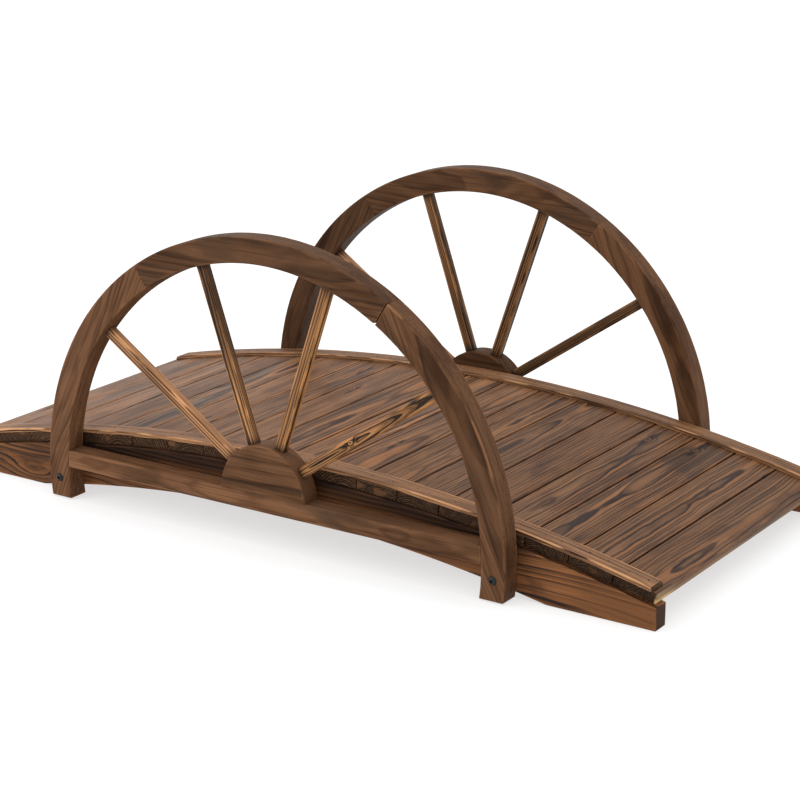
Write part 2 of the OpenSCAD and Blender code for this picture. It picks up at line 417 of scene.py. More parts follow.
def wood(name, pale, mid, dark, glow, char, line, zone, patches, fine, wander=0.012, wear=0.4, sheen=0.1,
         steady=0.0, thick=0.84, grit=450.0, smear=0.4, eye=0.3, arc=0.8, end=(22, 15, 11), broad=0.15,
         soft=0.26, lit=0.4, hairs=0.6, raw=None, painted_sheen=None):
    """Torched softwood: yearly rings round a pith, cut through by the piece's own faces.

    The colours are sRGB: three of the wood, the glow of early wood, the char of burnt wood, end grain,
    raw wood under a broken skin and a painted sheen, grey patches that stand in for a glancing
    reflection. The other values say how strong, wide or fine a mark is.
    """
    t = Tree(name)
    pale, mid, dark, glow, char = (tint(*c) for c in (pale, mid, dark, glow, char))
    end = srgb(*end)
    bright = scaled(pale, 1.3)
    raw = tint(*raw) if raw else scaled(glow, 1.7)
    uvw = t.split(t.attribute("grain"))
    u, v, w = uvw
    tone, burnt, per_m = t.split(t.attribute("look"))
    knot_u, knot_v, knot_r = t.split(t.attribute("knot"))
    arris = t.attribute("arris", "Fac")
    soot = t.attribute("soot", "Fac")
    ends = t.attribute("ends", "Fac")

    # distance from the pith, with the stem's wander and the bulge round a knot
    slow = t.sub(t.streaks(uvw, SLOW, detail=1.5), 0.5)
    wave = t.sub(t.streaks(uvw, WAVE), 0.5)
    r = t.math("SQRT", t.add(t.mul(v, v), t.mul(w, w)))
    r = t.add(r, t.add(t.mul(slow, wander), t.mul(wave, WAVE_DEPTH)))
    du, dv = t.sub(u, knot_u), t.sub(v, knot_v)
    ragged = t.mul(t.sub(t.streaks(uvw, RAGGED), 0.5), 1.1)
    heart = t.math("SQRT", t.add(t.mul(t.mul(du, du), 0.3), t.mul(dv, dv)))
    heart = t.add(t.math("DIVIDE", heart, knot_r), ragged)
    flame = t.math("SQRT", t.add(t.mul(t.mul(du, du), 0.02), t.mul(dv, dv)))
    flame = t.add(t.math("DIVIDE", flame, knot_r), ragged)
    near = t.fall(heart, 0.7, 4.5)
    r = t.add(r, t.mul(t.mul(near, near), t.mul(knot_r, 2.0)))

    # yearly rings of uneven width: pale early wood, a greyed late zone and its sharp dark end
    rings = t.mul(r, per_m)
    rings = t.add(rings, t.mul(t.noise(t.vec(t.mul(rings, 0.55), 0.0, 0.0), detail=1.0), 1.1))
    f = t.math("FRACT", rings)
    early = t.mul(t.step(f, 0.0, 0.04), t.fall(f, 0.08, 0.5))
    late = t.mul(t.step(f, thick - soft, thick - 0.25 * soft), t.fall(f, 0.96, 1.0))
    edge = t.mul(t.step(f, thick, thick + 0.1), t.fall(f, 0.97, 1.0))
    half_ring = t.math("FRACT", t.mul(rings, 2.0))
    hair = t.mul(t.step(half_ring, 0.55, 0.8), t.fall(half_ring, 0.86, 1.0))
    band = t.noise(t.vec(t.mul(rings, 0.8), t.mul(u, 1.6), 0.0), detail=1.0)
    bold = t.step(band, 0.60, 0.38, steady, 1.0)

    fibre = t.streaks(uvw, (FIBRE_ALONG, grit), detail=3.0, rough=0.65)
    streak = t.streaks(uvw, STREAK, detail=3.0, rough=0.6)
    cloud = t.streaks(uvw, CLOUD, detail=3.0, bend=0.5)
    wide = t.streaks(uvw, WIDE)

    # the colour of the rings, then streaks and fibres over it, then burnt patches
    base = t.mix(t.step(band, 0.36, 0.64), mid, pale)
    base = t.mix(t.mul(t.step(cloud, 0.52, 0.34), 0.5), base, dark)
    base = t.mix(t.mul(early, t.add(0.25 * lit, t.mul(bold, lit))), base, glow)
    base = t.mix(t.mul(hair, fine * hairs), base, dark)
    greyed = t.add(zone * 0.4, t.mul(burnt, zone * 0.6))
    base = t.mix(t.mul(late, t.mul(t.add(0.25, t.mul(bold, 0.75)), greyed)), base, char)
    base = t.mix(t.mul(edge, t.add(line * 0.6, t.mul(bold, line * 0.4))), base, dark)
    base = t.mix(t.mul(t.step(streak, 0.48, 0.26), smear), base, dark)
    base = t.mix(t.mul(t.step(streak, 0.56, 0.74), smear * 0.7), base, glow)
    base = t.mix(t.mul(t.step(wide, 0.50, 0.34), broad), base, dark)
    base = t.mix(t.mul(t.step(wide, 0.50, 0.66), broad), base, bright)
    base = t.mix(t.mul(t.step(fibre, 0.50, 0.28), fine), base, dark)
    base = t.mix(t.mul(t.step(fibre, 0.56, 0.76), fine * 0.6), base, glow)
    scorch = t.mul(t.step(cloud, 0.50, 0.64), t.add(0.4, t.mul(bold, 0.6)))
    scorch = t.mul(scorch, t.mul(burnt, patches), clamp=True)
    base = t.mix(scorch, base, char)

    # painted sheen: grey patches on the most burnt boards, standing in for a glancing reflection of the
    # white room
    if painted_sheen:
        sheen_patches = t.step(t.streaks(uvw, SHEEN_PATCH_SCALE, detail=4.0), 0.47, 0.60)
        sheen_patches = t.mul(sheen_patches, t.step(fibre, 0.30, 0.62, 0.35, 1.0))
        sheen_patches = t.mul(sheen_patches, t.step(burnt, 0.85, 1.4, 0.0, 0.75), clamp=True)
        base = t.mix(sheen_patches, base, tint(*painted_sheen))

    # knots
    base = t.mix(t.mul(t.step(flame, 1.7, 0.9), 0.85), base, scaled(dark, 0.6))
    base = t.mix(t.mul(t.step(heart, 1.15, 0.95), eye), base, glow)
    base = t.mix(t.mul(t.step(heart, 0.75, 0.5), 0.9), base, dark)

    # end grain
    f = t.math("FRACT", t.mul(rings, 1.4))
    arcs = t.mul(t.mul(t.step(f, 0.1, 0.35), t.fall(f, 0.5, 0.75)), t.step(fibre, 0.32, 0.6))
    end_tone = t.mix(t.mul(arcs, arc), end, scaled(mid, 0.75))
    warm = t.step(t.noise(t.vec(t.mul(v, 26.0), t.mul(w, 50.0), t.mul(u, 4.0))), 0.58, 0.7)
    end_tone = t.mix(t.mul(warm, 0.6), end_tone, mid)
    base = t.mix(ends, base, end_tone)

    # worn arrises, then soot and painted shade where it is above 0 and raw wood where it is below
    rub = t.mul(t.step(arris, 0.35, 0.9), t.step(t.streaks(uvw, RUB, detail=4.0), 0.44, 0.60))
    rub = t.mul(rub, t.sub(wear, t.mul(ends, wear * 0.5)), clamp=True)
    base = t.mix(rub, base, scaled(glow, 1.35))
    base = t.mix(t.mul(soot, 0.85, clamp=True), base, scaled(dark, 0.45))
    base = t.mix(t.mul(soot, -1.0, clamp=True), base, raw)
    level = t.add(0.5, tone)
    base = t.mix(1.0, base, t.vec(level, level, level), mode="MULTIPLY")

    t.put(t.bsdf.inputs["Base Color"], base)
    matt = t.add(0.5, t.mul(ends, 0.35))
    t.put(t.bsdf.inputs["Roughness"], t.add(matt, t.mul(t.sub(fibre, 0.5), 0.3)))
    t.bsdf.inputs["Specular IOR Level"].default_value = sheen
    bump = t.nt.nodes.new("ShaderNodeBump")
    bump.inputs["Strength"].default_value = BUMP_STRENGTH
    bump.inputs["Distance"].default_value = BUMP_DEPTH
    t.put(bump.inputs["Height"], t.add(t.mul(late, 0.5), t.add(t.mul(fibre, 0.9), t.mul(streak, 0.6))))
    t.put(t.bsdf.inputs["Normal"], bump.outputs[0])
    return t.mat


def steel(name, colour, rough, metal):
    """Dark steel with fine grime."""
    t = Tree(name)
    x, y, z = t.split(t.nt.nodes.new("ShaderNodeTexCoord").outputs["Object"])
    at = t.vec(t.mul(x, GRIME_SCALE), t.mul(y, GRIME_SCALE), t.mul(z, GRIME_SCALE))
    grime = t.noise(at, detail=3.0)
    t.put(t.bsdf.inputs["Base Color"], t.mix(t.step(grime, 0.35, 0.7), colour, scaled(colour, 2.2)))
    t.put(t.bsdf.inputs["Roughness"], t.add(rough, t.mul(grime, 0.2)))
    t.bsdf.inputs["Metallic"].default_value = metal
    return t.mat


MATS = {
    "deck_wood": wood(
        "torched_deck_wood",
        pale=(138, 101, 73), mid=(118, 86, 62), dark=(46, 33, 25), glow=(184, 124, 78), char=(64, 54, 48),
        end=(34, 24, 17), raw=(240, 204, 146), painted_sheen=(118, 112, 108),
        line=0.66, zone=0.45, patches=0.8, fine=0.9, wear=0.2, sheen=0.12, thick=0.76, grit=360.0,
        smear=0.22, broad=0.16, soft=0.14, lit=0.34, hairs=0.75, arc=0.9),
    "stringer_wood": wood(
        "torched_stringer_wood",
        pale=(140, 94, 62), mid=(122, 82, 54), dark=(40, 30, 24), glow=(166, 108, 66), char=(54, 46, 42),
        end=(54, 42, 33), raw=(115, 78, 53),
        line=0.85, zone=0.9, patches=0.5, fine=0.45, thick=0.76, smear=0.38, arc=0.4),
    "strip_wood": wood(
        "worn_strip_wood",
        pale=(172, 126, 90), mid=(150, 110, 79), dark=(52, 36, 25), glow=(206, 154, 110), char=(104, 80, 62),
        end=(46, 33, 24),
        line=1.0, zone=0.75, patches=0.3, fine=1.0, wear=0.6, thick=0.74, grit=380.0, smear=0.7),
    "rim_wood": wood(
        "torched_rim_wood",
        pale=(110, 80, 60), mid=(99, 72, 54), dark=(52, 39, 31), glow=(124, 89, 65), char=(66, 55, 48),
        end=(84, 58, 40),
        line=0.35, zone=0.5, patches=0.9, fine=0.6, wander=0.016, wear=0.3, sheen=0.04, smear=0.22,
        arc=0.4, lit=0.2, soft=0.16),
    "spoke_wood": wood(
        "torched_spoke_wood",
        pale=(192, 138, 92), mid=(162, 113, 74), dark=(26, 17, 11), glow=(212, 150, 93), char=(70, 48, 34),
        line=1.0, zone=0.5, patches=0.8, fine=0.6, wander=0.003, wear=0.6, sheen=0.14, steady=0.7,
        thick=0.57, smear=0.6, eye=1.0),
    "plain_spoke_wood": wood(
        "plain_spoke_wood",
        pale=(194, 142, 100), mid=(180, 130, 90), dark=(40, 27, 18), glow=(202, 148, 103), char=(90, 64, 46),
        line=1.0, zone=0.4, patches=0.3, fine=0.5, wander=0.003, wear=0.6, sheen=0.14, steady=0.7,
        thick=0.57, smear=0.35),
}
BOLT = steel("blackened_steel", (0.016, 0.016, 0.017), 0.3, 0.8)
NAIL = steel("dark_nail_steel", (0.012, 0.009, 0.007), 0.5, 0.3)

# Deck boards

BOARD_RADII = (0.9, 1.5, 1.5, 0.9)
BOARD_CHIP = 0.5
BOARD_LEAST_R = 0.3
BOARD_STEP = 14
BOARD_END_EASE = 1.0
BOARD_END_WORN = 0.15
BOARD_SHRINK = 0.1
BOARD_CROOK = 0.1
BOARD_BOW = 0.12
BOARD_CUP = (-0.25, 0.35)
BOARD_UNEVEN = 4

# Painted shade on the board sides in the gaps: how deep, how dark below and at the lip, and how it clears at
# the ends
SIDE_DEPTH = 1.4
SIDE_TOP = 0.3
GAP_SHADE = 0.85
LIP_H = 2
LIP_SHADE = 0.4
GAP_END_SHADE = 0.15
END_CLEAR = 3
END_FADE = 12

# The last board's outer side is raw low down, most at its front corner, over this length
RAW_DEPTH = 1.5
RAW_H = 5
RAW_LEAST = 0.2
RAW_GAIN = 1.6
RAW_HIGH = 0.3
WORN_CORNER = 70

# How light the boards at the left are: partly their own tones and partly painted sheen, which sets them
# lighter than the boards at the right end
BOARD_TONES = {
    1: 0.90, 2: 0.80, 3: 1.00, 4: 0.72, 5: 0.84, 6: 0.92,
    7: 0.72, 8: 0.88, 9: 0.76, 10: 0.90, 11: 0.78,
}

# How many boards from the left end are burnt most, with dark char and painted sheen patches, and how burnt
# the other boards are beside them
GREYED_BOARDS = 5
BROWN_SHARE = 0.62

# Figure of the boards at the left: shares of flat sawn and of knotty boards, then the spans in mm
# that the pith (across, up), the rings' width and a knot (along, across, radius) are drawn from
FLAT_SAWN = 0.6
KNOTTY = 0.3
FLAT_PITH = ((-16, 16), (-44, -18))
QUARTER_PITH = ((55, 100), (-60, -20))
BURNT_SPAN = (0.9, 1.5)
RING_SPAN = (4.6, 6.6)
KNOT_SPANS = ((-200, 200), (-22, 22), (2.6, 4.2))

# Pith, look and knot of the boards nearest the right end
BOARD_FIGURES = {
    12: ((14, -26), (0.56, 0.3, 240.0), None),
    13: ((-10, -24), (0.52, 0.7, 215.0), None),
    14: ((70, -40), (0.46, 0.1, 230.0), None),
    15: ((-2, -22), (0.50, 0.4, 200.0), (188, -14, 4.2)),
    16: ((-11, -20), (0.46, 0.8, 210.0), (212, -12, 3.4)),
    17: ((2, -34), (0.38, 0.1, 260.0), None),
    18: ((18, -26), (0.35, 0.05, 260.0), None),
}


def board_figure(i, g):
    """Pith, look and knot of a board, by chance where they aren't given."""
    if i in BOARD_FIGURES:
        return BOARD_FIGURES[i]
    if g.random() < FLAT_SAWN:
        pith = tuple(g.uniform(*span) for span in FLAT_PITH)
    else:
        across, up = QUARTER_PITH
        pith = (g.choice((-1, 1)) * g.uniform(*across), g.uniform(*up))
    burnt = g.uniform(*BURNT_SPAN) * (1.0 if i <= GREYED_BOARDS else BROWN_SHARE)
    look = wood_look(BOARD_TONES[i], burnt, g.uniform(*RING_SPAN))
    knot = None
    if g.random() < KNOTTY:
        knot = tuple(g.uniform(*span) for span in KNOT_SPANS)
    return pith, look, knot


def make_board(i):
    g = random.Random(100 + i)
    al = -DECK_A + (i - 0.5) * STEP_A
    ca, sa = math.cos(al), math.sin(al)
    half = BOARD_W / 2
    cup = g.uniform(*BOARD_CUP)
    bow, crook = ripple(i * 7, (480, 900)), ripple(i * 7 + 1, (380, 700))
    chips = corner_chips(i * 7 + 2, (23, 61, 140))
    ta, tb = side_steps(BOARD_W, 13), side_steps(BOARD_T, 3)
    lengths = random.Random(500 + i)
    front_end = -BOARD_HALF + lengths.uniform(0, BOARD_UNEVEN)
    rear_end = BOARD_HALF - lengths.uniform(0, BOARD_UNEVEN)

    def section(s, inset):
        radii = worn_radii(chips, s, inset, BOARD_RADII, BOARD_CHIP, BOARD_LEAST_R)
        d = BOARD_CROOK * crook(s)
        lo, hi = -half + inset + BOARD_SHRINK + d, half - inset - BOARD_SHRINK + d
        return eased(lo, hi, inset, BOARD_T - inset, radii, ta, tb)

    def place(s, a, b):
        top = b / BOARD_T
        bb = SEAT_R + b + top * (-cup * (a / half) ** 2 + BOARD_BOW * bow(s) - BOARD_SHRINK)
        return (a * ca + bb * sa, s, DECK_CZ - a * sa + bb * ca)

    def grain(s, a, b):
        return (s, a, b - BOARD_T + SOLID_BOARD_T)

    # painted shade on the board sides in the gaps between boards, and raw wood on the last board's outer
    # side
    def soot(s, a, b):
        meets = (i > 1 or a > 0) and (i < BOARD_N or a < 0)
        if meets and abs(a) > half - SIDE_DEPTH and b < BOARD_T - SIDE_TOP:
            inside = unit((min(s - front_end, rear_end - s) - END_CLEAR) / END_FADE)
            gap_shade = GAP_SHADE if b < BOARD_T - LIP_H else LIP_SHADE
            return gap_shade * (GAP_END_SHADE + (1 - GAP_END_SHADE) * inside)
        if i < BOARD_N or a < half - RAW_DEPTH:
            return 0.0
        corner = max(0.0, 1 - (s - front_end) / WORN_CORNER)
        return -max(RAW_LEAST, min(1.0, RAW_GAIN * corner)) if b < RAW_H else -RAW_HIGH * corner

    stops = stations(front_end, rear_end, BOARD_STEP, BOARD_END_EASE, worn=BOARD_END_WORN)
    solid = sweep(section, stops, place, grain, soot)
    pith, look, knot = board_figure(i, g)
    name = f"deck_board_{i:02d}"
    piece(f"{name}_plank", solid, name, MATS["deck_wood"], (0, 1, 0), look, pith, knot, i)


for i in range(1, BOARD_N + 1):
    make_board(i)

# Stringers

STRINGER_RADII = (1.3, 1.3, 1.3, 1.3)
STRINGER_CHIP = 0.6
STRINGER_LEAST_R = 0.3
STRINGER_STEP = 14
STRINGER_EASE = 1.2

# About how high a stringer is, for the spacing of its mesh points
STRINGER_H = 60

# Marks on the outer side, this deep into it, with painted shade under the deck and on the top ledge among
# them; places are lengths from the middle and heights in mm
SKIN = 6
END_SKIN = 0.1
SHADE_END = 470
SHADE_LEN = 60
SHADE_START = 1.2
SHADE_H = 42
LEDGE_SHADE_H = 0.8
LEDGE_SHADE = 0.8
PATCH_X = 468
PATCH_Z = 26
PATCH_SIZE = (16, 9)
PATCH_SOOT = 0.8
DUSK_X = -430
DUSK_LEN = 30
DUSK_H = 14
DUSK_SOOT = 0.25
PLAIN_X = 525
PLAIN_LEN = 45
PLAIN_SLANT = 0.6
PLAIN_SHARE = 0.6
LEAST_SOOT = 0.05

# A loop in the rings near the left end, and how much the grain runs out along the length
LOOP_X = -505
LOOP_Z = 20
LOOP_SIZE = (60, 17)
LOOP_DEPTH = 17
GRAIN_SLOPE = 0.012

# Where the burnt look fades out towards the right end, and over what length
FADE_END = 520
FADE_LEN = 80


def arch_point(i):
    a = -DECK_A + i * STEP_A
    return DECK_R * math.sin(a), DECK_CZ + DECK_R * math.cos(a)


FLATS = [arch_point(i) for i in range(BOARD_N + 1)]


def stringer_top(x):
    for (x0, z0), (x1, z1) in zip(FLATS, FLATS[1:]):
        if x <= x1 or x1 == FLATS[-1][0]:
            return z0 + (x - x0) * (z1 - z0) / (x1 - x0)


def stringer_low(x):
    return 0.0 if abs(x) >= HALF_SPAN else ARCH_RISE - ARCH_R + math.sqrt(ARCH_R ** 2 - x * x)


def make_stringer(side, look, pith, seed):
    sy = SIDES[side]
    chips = corner_chips(seed * 9, (31, 83, 210))
    ta, tb = side_steps(STRINGER_T, 4), side_steps(STRINGER_H, 7)

    def section(s, inset):
        radii = worn_radii(chips, s, inset, STRINGER_RADII, STRINGER_CHIP, STRINGER_LEAST_R)
        low, top = stringer_low(s) + inset, stringer_top(s) - inset
        return eased(inset, STRINGER_T - inset, low, top, radii, ta, tb)

    def place(s, a, b):
        return (s, sy * (HALF_FRAME - a), b)

    # painted shade under the deck and on the top ledge, a dark patch at the right, a dusky left end and
    # plain wood at the right end
    def soot(s, a, b):
        if a > SKIN or abs(s) > HALF_LEN - END_SKIN:
            return 0.0
        below = stringer_top(s) - b
        shade = unit((SHADE_END - abs(s)) / SHADE_LEN) * unit(SHADE_START - below / SHADE_H)
        patch = PATCH_SOOT * blot(s - PATCH_X, b - PATCH_Z, *PATCH_SIZE)
        dusk = DUSK_SOOT * unit((DUSK_X - s) / DUSK_LEN) * unit((b - DUSK_H) / DUSK_H)
        ledge_shade = LEDGE_SHADE if b > stringer_top(s) - LEDGE_SHADE_H else 0.0
        plain = PLAIN_SHARE * unit((s - PLAIN_X - PLAIN_SLANT * (b - PATCH_Z)) / PLAIN_LEN)
        dark = max(shade, patch, dusk, ledge_shade)
        return dark if dark > LEAST_SOOT else -plain

    # the rings bulge in a loop near the left end
    def grain(s, a, b):
        loop = LOOP_DEPTH * blot(s - LOOP_X, b - LOOP_Z, *LOOP_SIZE)
        return (s, b, a - GRAIN_SLOPE * (s + HALF_LEN) - loop)

    breaks = [x for x, z in FLATS[1:-1]] + [-HALF_SPAN, HALF_SPAN]
    stops = stations(-HALF_LEN, HALF_LEN, STRINGER_STEP, STRINGER_EASE, also=breaks)
    solid = sweep(section, stops, place, grain, soot)
    tone, burnt, per_m = look
    looks = [(tone, burnt * unit((FADE_END - x) / FADE_LEN), per_m) for x, y, z in solid.xyz]
    name = f"{side}_stringer"
    material = MATS["stringer_wood"]
    piece(f"{name}_beam", solid, name, material, (1, 0, 0), looks, pith, None, seed)


make_stringer("front", wood_look(0.54, 0.9, 6.5), (-8, 46), 41)
make_stringer("rear", wood_look(0.47, 0.9, 6.5), (-4, 50), 42)

# Edge strips and their nails

STRIP_RADII = (0.5, 1.2, 1.2, 0.5)
STRIP_CHIP = 0.8
STRIP_LEAST_R = 0.25
STRIP_STEP = 13
STRIP_EASE = 0.6
STRIP_RIM = 1.6
STRIP_CAP = 1.4
STRIP_LIFT = 0.15
STRIP_SINK = 0.1

# Two nails in each board, this far from its middle, out of place by up to so much along and across
NAIL_PLACES = (-16, 15)
NAIL_ASTRAY = 5
NAIL_ASIDE = 4
NAIL_R = 1.4
NAIL_SIDES = 12
NAIL_SINK = 0.5

# Rings of a nail's head: share of its radius, and height
NAIL_RINGS = ((1.0, -1.5), (1.0, 0.35), (0.86, 0.62), (0.4, 0.8))


def add_nail(solid, at, ex, up):
    rings = []
    for share, height in NAIL_RINGS:
        pts = []
        for k in range(NAIL_SIDES):
            turn = 2 * math.pi * k / NAIL_SIDES
            x = ex * (NAIL_R * share * math.cos(turn))
            y = Vector((0, NAIL_R * share * math.sin(turn), 0))
            pts.append(tuple(at + x + y + up * height))
        rings.append(solid.ring(pts, [0.0] * NAIL_SIDES))
    for r0, r1 in zip(rings, rings[1:]):
        solid.skin(r0, r1)
    solid.faces.append(tuple(rings[-1]))
    solid.faces.append(tuple(rings[0]))


def make_strip(side, look, pith, seed):
    sy = SIDES[side]
    half = STRIP_A * STRIP_R
    chips = corner_chips(seed * 9, (19, 57, 150))
    lift = ripple(seed * 9 + 5, (150, 330))
    ta, tb = side_steps(STRIP_W, 7), side_steps(STRIP_T, 2, NEAR_SLIM)

    def section(s, inset):
        cut = max(0.0, STRIP_BEVEL - (half - abs(s)))
        radii = worn_radii(chips, s, inset, STRIP_RADII, STRIP_CHIP, STRIP_LEAST_R)
        return eased(inset, STRIP_W - inset, inset, STRIP_T - cut - inset, radii, ta, tb)

    def place(s, a, b):
        h = s / STRIP_R
        r = STRIP_SEAT + b
        if b > STRIP_T / 2:
            r += STRIP_LIFT * lift(s) * b / STRIP_T - STRIP_SINK
        return (r * math.sin(h), sy * (BOARD_HALF - a), DECK_CZ + r * math.cos(h))

    bevels = [half - STRIP_BEVEL, STRIP_BEVEL - half]
    stops = stations(-half, half, STRIP_STEP, STRIP_EASE, rim=STRIP_RIM, also=bevels)
    solid = sweep(section, stops, place, cap_rim=STRIP_CAP)
    name = f"{side}_edge_strip"
    piece(f"{name}_batten", solid, name, MATS["strip_wood"], (1, 0, 0), look, pith, None, seed)

    nails = Solid()
    g = random.Random(seed)
    for i in range(1, BOARD_N + 1):
        for off in NAIL_PLACES:
            h = -DECK_A + (i - 0.5) * STEP_A + (off + g.uniform(-NAIL_ASTRAY, NAIL_ASTRAY)) / DECK_R
            dy = STRIP_W / 2 + g.uniform(-NAIL_ASIDE, NAIL_ASIDE)
            up = Vector((math.sin(h), 0, math.cos(h)))
            ex = Vector((math.cos(h), 0, -math.sin(h)))
            at = Vector((0, sy * (BOARD_HALF - dy), DECK_CZ)) + up * (STRIP_R - NAIL_SINK)
            add_nail(nails, at, ex, up)
    piece(f"{side}_strip_nails", nails, None, NAIL, (0, 0, 1), seed=seed)


# the rear strip is set darker than the front one, as painted shade on its less lit top
make_strip("front", wood_look(0.64, 0.5, 4.2), (60, -22), 51)
make_strip("rear", wood_look(0.40, 0.6, 4.2), (64, -26), 52)

# Half wheels

WHEEL_LEAST_R = 0.4
FELLOE_RADII = (1.9, 1.9, 1.9, 1.9)
FELLOE_CHIP = 0.7
FELLOE_STEP = 6
FELLOE_RIM = 2.5
JOINT_EASE = 0.45
FOOT_EASE = 1.3
RAIL_RADII = (1.6, 1.6, 1.6, 1.6)
RAIL_CHIP = 0.6
RAIL_STEP = 13
RAIL_EASE = 0.8
RAIL_CLEAR = 0.1
HUB_EASE = 2.0
HUB_STEPS = 60
SPOKE_STOPS = 34
SPOKE_BOW = 0.3
SPOKE_SMOOTH = 28

# How far the front right felloe's joint stands open at its face, and the nick in the top felloe
AJAR = 1.5
NICK = 3.0
NICK_LEN = 5

# How far in from an arris, and how far under a face, a mark on the wheels reaches
ARRIS_DEPTH = 3
FACE_SKIN = 0.2

# The sooted band on the front right felloe: angles in degrees, lower radius, wander and blending
SOOT_FROM = 19
SOOT_TO = 53
SOOT_START = 3
SOOT_STOP = 6
SOOT_R = 414
SOOT_WANDER = 3
SOOT_TAPER_TO = 24
SOOT_TAPER = 4
SOOT_EDGE = 4
SOOT_SHARE = 0.5

# Raw wood on that felloe's outer arris, up to one angle, and at its joint, from another
RAW_ARRIS_TO = 30
RAW_ARRIS = 0.4
RAW_JOINT_FROM = 54
RAW_JOINT = 0.55

# Soot on the rail from this length on
RAIL_SOOT_X = 110
RAIL_SOOT_LEN = 60
RAIL_SOOT = 0.36

# The hub's mesh rings, and a dark cap and a dark stripe on its face, from the middle of its foot
HUB_FACE_RINGS = range(0, 72, 6)
HUB_BACK_RINGS = (54.0, 36.0, 18.0, 0.0)
CAP_X = -26
CAP_H = 58
CAP_SIZE = (24, 15)
CAP_SOOT = 0.42
STRIPE_H = 15
STRIPE_SLOPE = 0.06
STRIPE_HALF = 4.5
STRIPE_REACH = 55
STRIPE_SOOT = 0.4

# Painted shade where a spoke meets hub and rim; one spoke is burnt from this share of its length on, more on
# its face than on its right side, and its left arris is bare
CORNER_SHADE_LEN = 16.0
CORNER_SHADE_FALL = 1.5
BURNT_SPOKE = 2
BURNT_FROM = 0.3
BURNT_LEN = 0.25
BURNT_FACE = 0.75
BURNT_SIDE = 0.6
SIDE_DUSK = 0.1
BARE_ARRIS = 0.3
ARRIS_A = 5.8
ARRIS_B = 4
SIDE_A = 8.5
FACE_B = 0.5
KNOT_SLOPE = 0.05

# Staples: angle from the joint, middle and half length across the rim, half width, depth and height
STAPLE_TURN = 0.045
STAPLE_MID = 21
STAPLE_HALF = 5.5
STAPLE_W = 0.75
STAPLE_LOW = -1.0
STAPLE_TOP = 0.35
STAPLE_BEND = 1.6
STAPLE_STEP = 1.2
STAPLE_EASE = 0.2
STAPLE_RIM = 0.4
STAPLE_R = 0.3
MIDDLE = [0.5]


def wheel_to_xyz(side, x, y, z):
    """From a wheel's own plane, z outwards, to the part's frame."""
    return (x, SIDES[side] * (HALF_FRAME + z), WHEEL_Z + y)


def make_felloe(side, which, look, pith, seed):
    chips = corner_chips(seed * 9, (27, 71, 190))
    ta, tb = side_steps(RIM_R - RIM_IN, 13), side_steps(RIM_T, 6)
    gap = JOINT_GAP / 2 / RIM_R
    ajar = (side, which) == ("front", "right")
    nicked = (side, which) == ("front", "top")
    drop = WHEEL_Z - FOOT_LIFT
    mid_r = (RIM_R + RIM_IN) / 2
    if which == "top":
        lo, hi, lean = RIGHT_JOINT + gap, math.pi - LEFT_JOINT - gap, math.pi / 2
    else:
        lo, hi = -math.asin(drop / mid_r), (LEFT_JOINT if which == "left" else RIGHT_JOINT) - gap
        lean = (lo + hi) / 2
    flip = -1.0 if which == "left" else 1.0
    length = (hi - lo) * mid_r
    ux, uy = flip * -math.sin(lean), math.cos(lean)
    wave = ripple(seed * 9 + 7, (60, 95, 170))

    def section(s, inset):
        radii = worn_radii(chips, s, inset, FELLOE_RADII, FELLOE_CHIP, WHEEL_LEAST_R)
        nick = NICK * max(0.0, 1 - s / NICK_LEN) ** 2 if nicked else 0.0
        return eased(RIM_IN + nick + inset, RIM_R - inset, inset, RIM_T - inset, radii, ta, tb)

    def flat(s, a, b):
        q = s / length
        start = lo if which == "top" else -math.asin(drop / a)
        end = hi - (AJAR / RIM_R * (b / RIM_T) ** 3 if ajar else 0.0)
        h = start + (end - start) * q
        return flip * a * math.cos(h), a * math.sin(h)

    def place(s, a, b):
        x, y = flat(s, a, b)
        return wheel_to_xyz(side, x, y, b)

    def grain(s, a, b):
        x, y = flat(s, a, b)
        return (x * ux + y * uy, x * flip * math.cos(lean) + y * math.sin(lean) - mid_r, b)

    # a sooted outer half of the face, with raw wood on the outer arris and at the open joint
    def soot(s, a, b):
        x, y = flat(s, a, b)
        h = math.degrees(math.atan2(y, x))
        if not ajar or b < RIM_T - ARRIS_DEPTH or h < SOOT_FROM:
            return 0.0
        on_arris = a > RIM_R - ARRIS_DEPTH and b < RIM_T - FACE_SKIN
        if h > SOOT_TO:
            return -RAW_JOINT if h > RAW_JOINT_FROM and on_arris else 0.0
        if b < RIM_T - FACE_SKIN:
            return -RAW_ARRIS if on_arris and h < RAW_ARRIS_TO else 0.0
        low = SOOT_R + SOOT_WANDER * wave(s) + max(0.0, SOOT_TAPER_TO - h) * SOOT_TAPER
        fade = min(1.0, (h - SOOT_FROM) / SOOT_START, (SOOT_TO - h) / SOOT_STOP)
        return SOOT_SHARE * fade * unit((a - low) / SOOT_EDGE) * (0.85 + 0.3 * wave(2 * s))

    first_ease = JOINT_EASE if which == "top" else FOOT_EASE
    stops = stations(0, length, FELLOE_STEP, first_ease, rim=FELLOE_RIM, ease1=JOINT_EASE)
    solid = sweep(section, stops, place, grain, soot)
    name = f"{side}_{which}_felloe"
    piece(f"{name}_wood", solid, name, MATS["rim_wood"], (ux, 0, uy), look, pith, None, seed)


